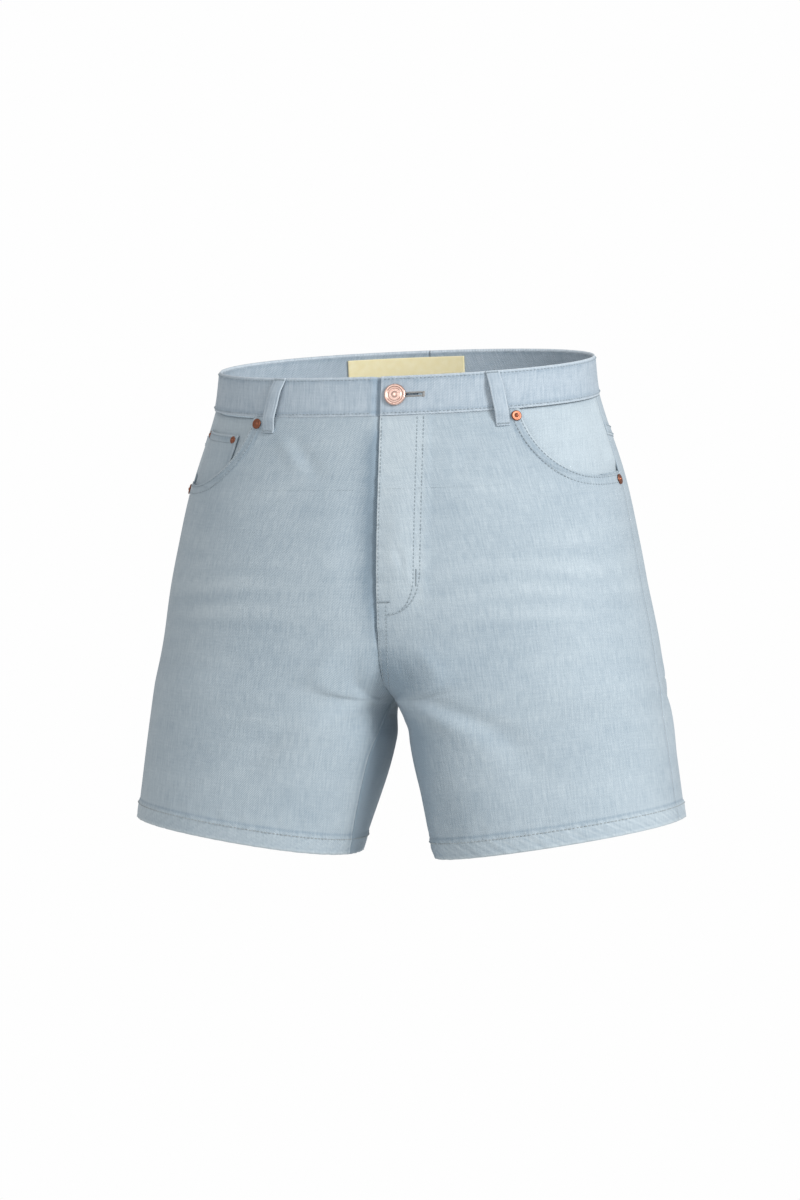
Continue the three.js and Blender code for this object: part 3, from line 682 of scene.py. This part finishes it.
# ---- Button and rivets ----
# A copper-plated tack button with a raised ring, and turned copper rivets with a small nipple in the middle.
BUTTON_PROFILE = [
    (0, -2.85), (1.3, -2.85), (1.3, 0.6), (7.4, 0.6), (8.2, 0.8), (8.5, 1.4), (8.4, 2.0), (7.9, 2.5), (7.2, 2.7),
    (6.6, 2.6), (6.1, 2.2), (5.6, 2.0), (5.0, 2.15), (4.6, 2.5), (4.1, 2.6), (3.6, 2.45), (3.2, 2.3),
    (2.6, 2.5), (1.8, 2.9), (0.9, 3.05), (0, 3.1),
]


def turned_piece(name, profile, across, level, side, lift, segments=64):
    """A profile of radius and height turned round the cloth's outward normal."""
    origin, normal = cloth(np.array(level), np.array(across), side, lift)
    helper = np.array([0, 0, 1.0])
    right = np.cross(helper, normal)
    right /= np.linalg.norm(right)
    up = np.cross(normal, right)
    profile = np.array(profile, float) * MM
    angle = np.linspace(0, 2 * np.pi, segments, endpoint=False)
    ring = np.cos(angle)[:, None] * right + np.sin(angle)[:, None] * up
    body = origin + profile[1:-1, None, :1] * ring[None] + profile[1:-1, None, 1:] * normal
    ends = origin + profile[[0, -1], 1:] * normal
    point = np.concatenate([body.reshape(-1, 3), ends])
    count = len(profile) - 2
    i = np.arange(count - 1)[:, None] * segments
    j = np.arange(segments)[None]
    k = (np.arange(segments)[None] + 1) % segments
    quads = np.stack([i + j, i + k, i + segments + k, i + segments + j], -1).reshape(-1, 4)
    first, last = count * segments, count * segments + 1
    low = np.stack([k[0], j[0], np.full(segments, first)], -1)
    top = (count - 1) * segments
    high = np.stack([top + j[0], top + k[0], np.full(segments, last)], -1)
    return mesh_piece(name, point, quads.tolist() + low.tolist() + high.tolist())


def copper(name, colour, worn, roughness):
    """Copper plate, satin and a little worn: fine noise in its roughness and colour."""
    material, tree, surface = new_material(name)
    mottle = noise(tree, node(tree, "ShaderNodeTexCoord").outputs["Object"], 700, 3)
    colour_surface(tree, surface, mottle, colour, worn)
    rough = node(tree, "ShaderNodeMapRange", {"Value": mottle},
                 {"To Min": roughness - 0.08, "To Max": roughness + 0.1})
    tree.links.new(rough.outputs[0], surface.inputs["Roughness"])
    surface.inputs["Metallic"].default_value = 1.0
    return material


button_copper = copper("copper-plated brass, button", "#c98f7b", "#fbe6dc", 0.3)
rivet_copper = copper("copper-plated brass, rivet", "#7d4434", "#b07a62", 0.4)
button = turned_piece("button", BUTTON_PROFILE, BUTTON_ACROSS, BUTTON_LEVEL, 1, BAND_PROUD)
dress(button, button_copper, "copper", "button")

RIVETS = [
    ("rivet_pocket_left_top", 1, -37, 96, 4.1, GAP + 1.9),
    ("rivet_pocket_left_side", 1, -95.5, 5.5, 4.1, GAP + 0.4),
    ("rivet_pocket_right_top", -1, -37, 97, 4.1, GAP + 1.9),
    ("rivet_pocket_right_side", -1, -95.5, 5.5, 4.1, GAP + 0.4),
    ("rivet_coin_outer", -1, -50, 10.5, 3.0, COIN_LIFT + 0.9),
    ("rivet_coin_inner", -1, -50, 71, 3.0, COIN_LIFT + 0.9),
]
for name, side, level, from_side, radius, lift in RIVETS:
    head = [(0, -0.2), (1, -0.2), (1, 0.35), (0.93, 0.7), (0.8, 0.85), (0.6, 0.7), (0.4, 0.6), (0.3, 0.9),
            (0.22, 1.4), (0.1, 1.55), (0, 1.6)]
    profile = [(share * radius, height) for share, height in head]
    rivet = turned_piece(name, profile, float(seam_at(level, side)) - from_side, level, side, lift, 32)
    dress(rivet, rivet_copper, "copper", name)

# ---- Label ----
# A woven cream strip sewn inside the back of the waistband, with nothing on it.
LABEL = dict(top=-5, bottom=-26, width=98, shift=-19)
u, v = np.meshgrid(np.linspace(0, 1, 90), np.linspace(0, 1, 24))
x = LABEL["shift"] + (u - 0.5) * LABEL["width"]
level = LABEL["top"] + (LABEL["bottom"] - LABEL["top"]) * v
lift = BAND_PROUD - BAND - 0.6 - 0.5 * np.sin(np.pi * u) * np.sin(np.pi * v)
point, _ = cloth_at_back(level, x, lift)
label = grid_piece("label", point, np.stack([x, -level], -1) * MM, True, 0.6)
label_cloth, tree, surface = new_material("cream woven cotton tape")
tape_uv = node(tree, "ShaderNodeUVMap", uv_map="cloth").outputs["UV"]
weft = {"Scale": 420, "Distortion": 0.6}
ribs = node(tree, "ShaderNodeTexWave", {"Vector": tape_uv}, weft, bands_direction="Y")
colour_surface(tree, surface, noise(tree, tape_uv, 160, 3), "#efe0a9", "#fbf2cf")
emboss(tree, surface, ribs.outputs["Fac"], 0.4, 0.0002)
surface.inputs["Roughness"].default_value = 0.8
dress(label, label_cloth, "label", "label")

# ---- Topstitching ----
# Cotton-wrapped thread, about 3 mm to a stitch: grey-blue on the panels, grey-brown at the hems and tan at
# the buttonhole.
def stitch_row(level, across, side, lift, pitch=3.1, radius=0.32, folds=FOLDS + CREASES):
    """Stitches along a path: each is a six-sided spindle that rises out of the cloth and dips back in."""
    point, normal = cloth(level, across, side, lift, folds)
    run = np.concatenate([[0], np.cumsum(np.linalg.norm(np.diff(point, axis=0), axis=1))]) / MM
    count = max(int(run[-1] / pitch), 1)
    ring = np.array([0.0, 0.25, 0.5, 0.75, 1.0])
    where = (np.arange(count)[:, None] + 0.09 + 0.82 * ring[None]) * run[-1] / count
    centre = np.stack([np.interp(where, run, point[:, k]) for k in range(3)], -1)
    outward = np.stack([np.interp(where, run, normal[:, k]) for k in range(3)], -1)
    outward /= np.linalg.norm(outward, axis=-1, keepdims=True)
    along = np.gradient(centre, axis=1)
    along /= np.linalg.norm(along, axis=-1, keepdims=True)
    sideways = np.cross(along, outward)
    size = radius * np.array([0.35, 0.9, 1.0, 0.9, 0.35]) * MM
    height = np.array([-0.25, 0.12, 0.25, 0.12, -0.25]) * MM
    centre = centre + outward * height[None, :, None]
    turn = np.arange(6) * np.pi / 3
    body = (centre[:, :, None] + sideways[:, :, None] * (size[:, None] * np.cos(turn))[None, :, :, None]
            + outward[:, :, None] * (size[:, None] * np.sin(turn))[None, :, :, None])
    return body.reshape(-1, 3), count


def stitch_faces(count):
    """Quads round each spindle and a cap at each end, repeated for every stitch."""
    j = np.arange(6)
    k = (j + 1) % 6
    quads = np.concatenate([np.stack([j, 6 + j, 6 + k, k], -1) + 6 * r for r in range(4)])
    caps = np.array([[0, 1, 2, 3], [0, 3, 4, 5], [27, 26, 25, 24], [29, 28, 27, 24]])
    one = np.concatenate([quads, caps])
    return (one[None] + np.arange(count)[:, None, None] * 30).reshape(-1, 4)


def thread(name, colour):
    """Matt spun thread."""
    material, tree, surface = new_material(name)
    fleck = noise(tree, node(tree, "ShaderNodeTexCoord").outputs["Object"], 900, 2)
    colour_surface(tree, surface, fleck, colour, "#aeb9bf")
    surface.inputs["Roughness"].default_value = 0.75
    return material


def sew(name, rows, material):
    """Joins rows of stitches into one piece."""
    made = [stitch_row(*row) for row in rows]
    point = np.concatenate([body for body, _ in made])
    piece = mesh_piece(name, point, stitch_faces(sum(count for _, count in made)).tolist())
    piece.data.materials.append(material)
    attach(piece, "root")
    return piece


tonal = thread("grey-blue cotton-wrapped thread", "#8796a1")
greyed = thread("grey-brown cotton-wrapped thread", "#8b8f8e")
tan = thread("tan cotton-wrapped thread", "#8d7a68")
k = np.linspace(0, 1, 400)
hem_rows, band_low, band_top, mouth_rows = [], [], [], []
for side in SIDES:
    level = HEM + HEM_DEPTH - 2.2 + 0 * k
    total = total_at(level, side)
    hem_rows.append((level, 0.8 + (total - 1.6) * k, side, 0.95))
    level = WAIST_SEAM + 2.2 + 0 * k
    start = 2.0 if side > 0 else 7.5
    band_low.append((level, start + (total_at(level, side) - start - 0.5) * k, side, BAND_PROUD + 0.1))
    level = -2.4 + 0 * k
    band_top.append((level, start + (total_at(level, side) - start - 0.5) * k, side, BAND_PROUD + 0.1))
    turn = np.linspace(2, 90, 300)
    level, from_side = mouth(turn)
    slope = np.stack([np.gradient(level), np.gradient(from_side)], -1)
    slope /= np.linalg.norm(slope, axis=1, keepdims=True)
    for inset in (1.6, 7.2):
        # Moved square to the mouth, away from the opening.
        row_level = level + inset * slope[:, 1]
        row_side = from_side - inset * slope[:, 0]
        fits = (row_side > 1) & (row_level < WAIST_SEAM - 1)
        row_level, row_side = row_level[fits], row_side[fits]
        stand = 1.4 * bell(inset, 14) + 0.5
        stand = stand * ramp(-92, -80, row_level) + 0.1
        mouth_rows.append((row_level, seam_at(row_level, side) - row_side, side, stand))
sew("hem_stitching", hem_rows, greyed)
sew("waistband_lower_stitching", band_low, tonal)
sew("waistband_upper_stitching", band_top, tonal)
sew("pocket_mouth_stitching", mouth_rows, tonal)

# The fly is sewn in a J by two rows, and the crotch seam below it by two rows beside the centre front.
fly_rows = []
for inset in (34.4, 29.4):
    straight = np.linspace(WAIST_SEAM - 1, -158 - (34.4 - inset), 120)
    turn = np.linspace(0, np.pi / 2, 60)
    curve_level = straight[-1] - (FLY_BOTTOM + 195 + 30 - (34.4 - inset)) * np.sin(turn) * 0.92
    curve_across = 9 + (inset - 9) * np.cos(turn) ** 0.8
    level = np.concatenate([straight, curve_level[1:]])
    across = np.concatenate([np.full(120, inset), curve_across[1:]])
    fly_rows.append((level, across, 1, 0.55))
for inset in (2.0, 8.0):
    level = np.linspace(-186, -252, 100)
    fly_rows.append((level, inset + 0 * level, 1, 0.1))
fly_rows.append((np.linspace(WAIST_SEAM - 1, -186, 200), 2.0 + np.zeros(200), 1, 0.55))
sew("fly_stitching", fly_rows, tonal)

# Bartacks: short dense zigzags at the fly and the loops' ends.
tacks = []


def bartack(level, across, side, lift, length, run_down):
    """Close stitches side by side, each lying across the tack's length."""
    for step in np.arange(-length / 2, length / 2, 0.55):
        edge = np.array([-1.0, 1.0])
        down = step if run_down else 0.9 * edge
        over = 0.9 * edge if run_down else step
        tacks.append((level + down + 0 * edge, across + over + 0 * edge, side, lift, 1.8, 0.3))


bartack(-184, 6, 1, 0.6, 11, False)
bartack(-164, 31.5, 1, 0.6, 14, True)
for name, side, top, bottom in LOOPS:
    if top is None:
        continue
    bartack(WAIST_SEAM - LOOP_BELOW + 1.8, bottom, side, LOOP_THICK + GAP + 0.1, 9, False)
    bartack(-2.0, top, side, LOOP_THICK + GAP + BAND_PROUD + 0.1, 9, False)
sew("bartacks", tacks, tonal)

# The buttonhole's edge is worked with close tan thread, ended by a tack.
hole = []
for edge_side in (-1, 1):
    for x in np.arange(SLOT_START, SLOT_END, 0.7):
        reach = np.array([0.6, 2.3]) * edge_side
        hole.append((BUTTON_LEVEL + reach, x + 0 * reach, 1, BAND_PROUD + 0.15, 1.7, 0.36))
for step in np.arange(-2.0, 2.1, 0.6):
    ends = SLOT_END + np.array([-0.4, 2.6])
    hole.append((BUTTON_LEVEL + step + np.zeros(2), ends, 1, BAND_PROUD + 0.2, 3.0, 0.36))
sew("buttonhole_stitching", hole, tan)

# Back topstitching: two rows each along the yoke seam and the pocket edges, one row along the seat seam.
back_rows = []
for side in SIDES:
    for inset in (1.8, 7.4):
        level = yoke_level(k) + inset
        across = seam_at(level, side) + 1 + (total_at(level, side) - seam_at(level, side) - 2) * k
        back_rows.append((level, across, side, 0.6))
    level = np.linspace(-100, -250, 260)
    back_rows.append((level, total_at(level, side) - 2.2, side, 0.1))
    for inset in (1.8, 7.4):
        u = np.concatenate([np.zeros(150), np.linspace(0, 1, 160), np.ones(150)])
        v = np.concatenate([np.linspace(0, 1, 150), np.ones(160), np.linspace(1, 0, 150)])
        level, across, _ = back_pocket_spot(u, v, side, inset)
        back_rows.append((level, across, side, CLOTH + 0.45))
sew("back_stitching", back_rows, tonal)

coin_rows = []
for inset in (2.0, 6.5):
    x = np.linspace(COIN["near_side"] + 2, COIN["near_side"] + COIN["width"] - 2, 80)
    level = COIN["level"] - inset + 0 * x
    coin_rows.append((level, seam_at(level, -1) - x, -1, COIN_LIFT + 1.05))
sew("coin_stitching", coin_rows, tonal)

# ---- Floor, lights and camera ----
# A plain pale floor well below the hanging shorts, a soft light from the wearer's left and fill all round.
bpy.ops.mesh.primitive_circle_add(vertices=96, radius=1.2, fill_type="NGON", location=(0, 0, -1.0))
floor = bpy.context.object
floor.name = "floor"
floor_paint, tree, surface = new_material("matt pale floor paint")
surface.inputs["Base Color"].default_value = linear("#f4f4f2")
surface.inputs["Roughness"].default_value = 0.9
floor.data.materials.append(floor_paint)

world = bpy.data.worlds.new("studio")
bpy.context.scene.world = world
world.use_nodes = True
# The backdrop reads white, while the light it gives the cloth is about half as strong.
tree = world.node_tree
seen = node(tree, "ShaderNodeLightPath").outputs["Is Camera Ray"]
strength = node(tree, "ShaderNodeMapRange", {"Value": seen}, {"To Min": 0.53, "To Max": 1.0})
tree.nodes["Background"].inputs["Color"].default_value = linear("#fefefe")
tree.links.new(strength.outputs[0], tree.nodes["Background"].inputs["Strength"])


def softbox(name, place, aim, size, power):
    """A square area light that faces a point."""
    lamp = bpy.data.lights.new(name, "AREA")
    lamp.size = size
    lamp.energy = power
    light = bpy.data.objects.new(name, lamp)
    bpy.context.scene.collection.objects.link(light)
    direction = np.array(aim) - np.array(place)
    direction /= np.linalg.norm(direction)
    pitch = math.acos(-direction[2])
    light.rotation_euler = (pitch, 0, math.atan2(direction[1], direction[0]) - math.pi / 2)
    light.location = place
    return light


softbox("key_right", (2.3, -1.5, 0.9), (0, 0, -0.2), 1.0, 62)
softbox("front_fill", (-0.4, -2.6, 0.9), (0, 0, -0.2), 1.6, 15)

YAW = math.radians(11.5)
DISTANCE = 2.900
AXIS_RIGHT = 0.005
AXIS_ABOVE = 0.189
LENS_PER_HEIGHT = 3.0329
camera_data = bpy.data.cameras.new("camera")
camera_data.sensor_fit = "VERTICAL"
camera_data.sensor_height = 36
camera_data.lens = 36 * LENS_PER_HEIGHT
camera = bpy.data.objects.new("camera", camera_data)
bpy.context.scene.collection.objects.link(camera)
camera.location = (math.sin(YAW) * DISTANCE - math.cos(YAW) * AXIS_RIGHT,
                   -math.cos(YAW) * DISTANCE - math.sin(YAW) * AXIS_RIGHT, -AXIS_ABOVE)
camera.rotation_euler = (math.radians(90), 0, YAW)
bpy.context.scene.camera = camera
bpy.context.scene.view_settings.view_transform = "Standard"
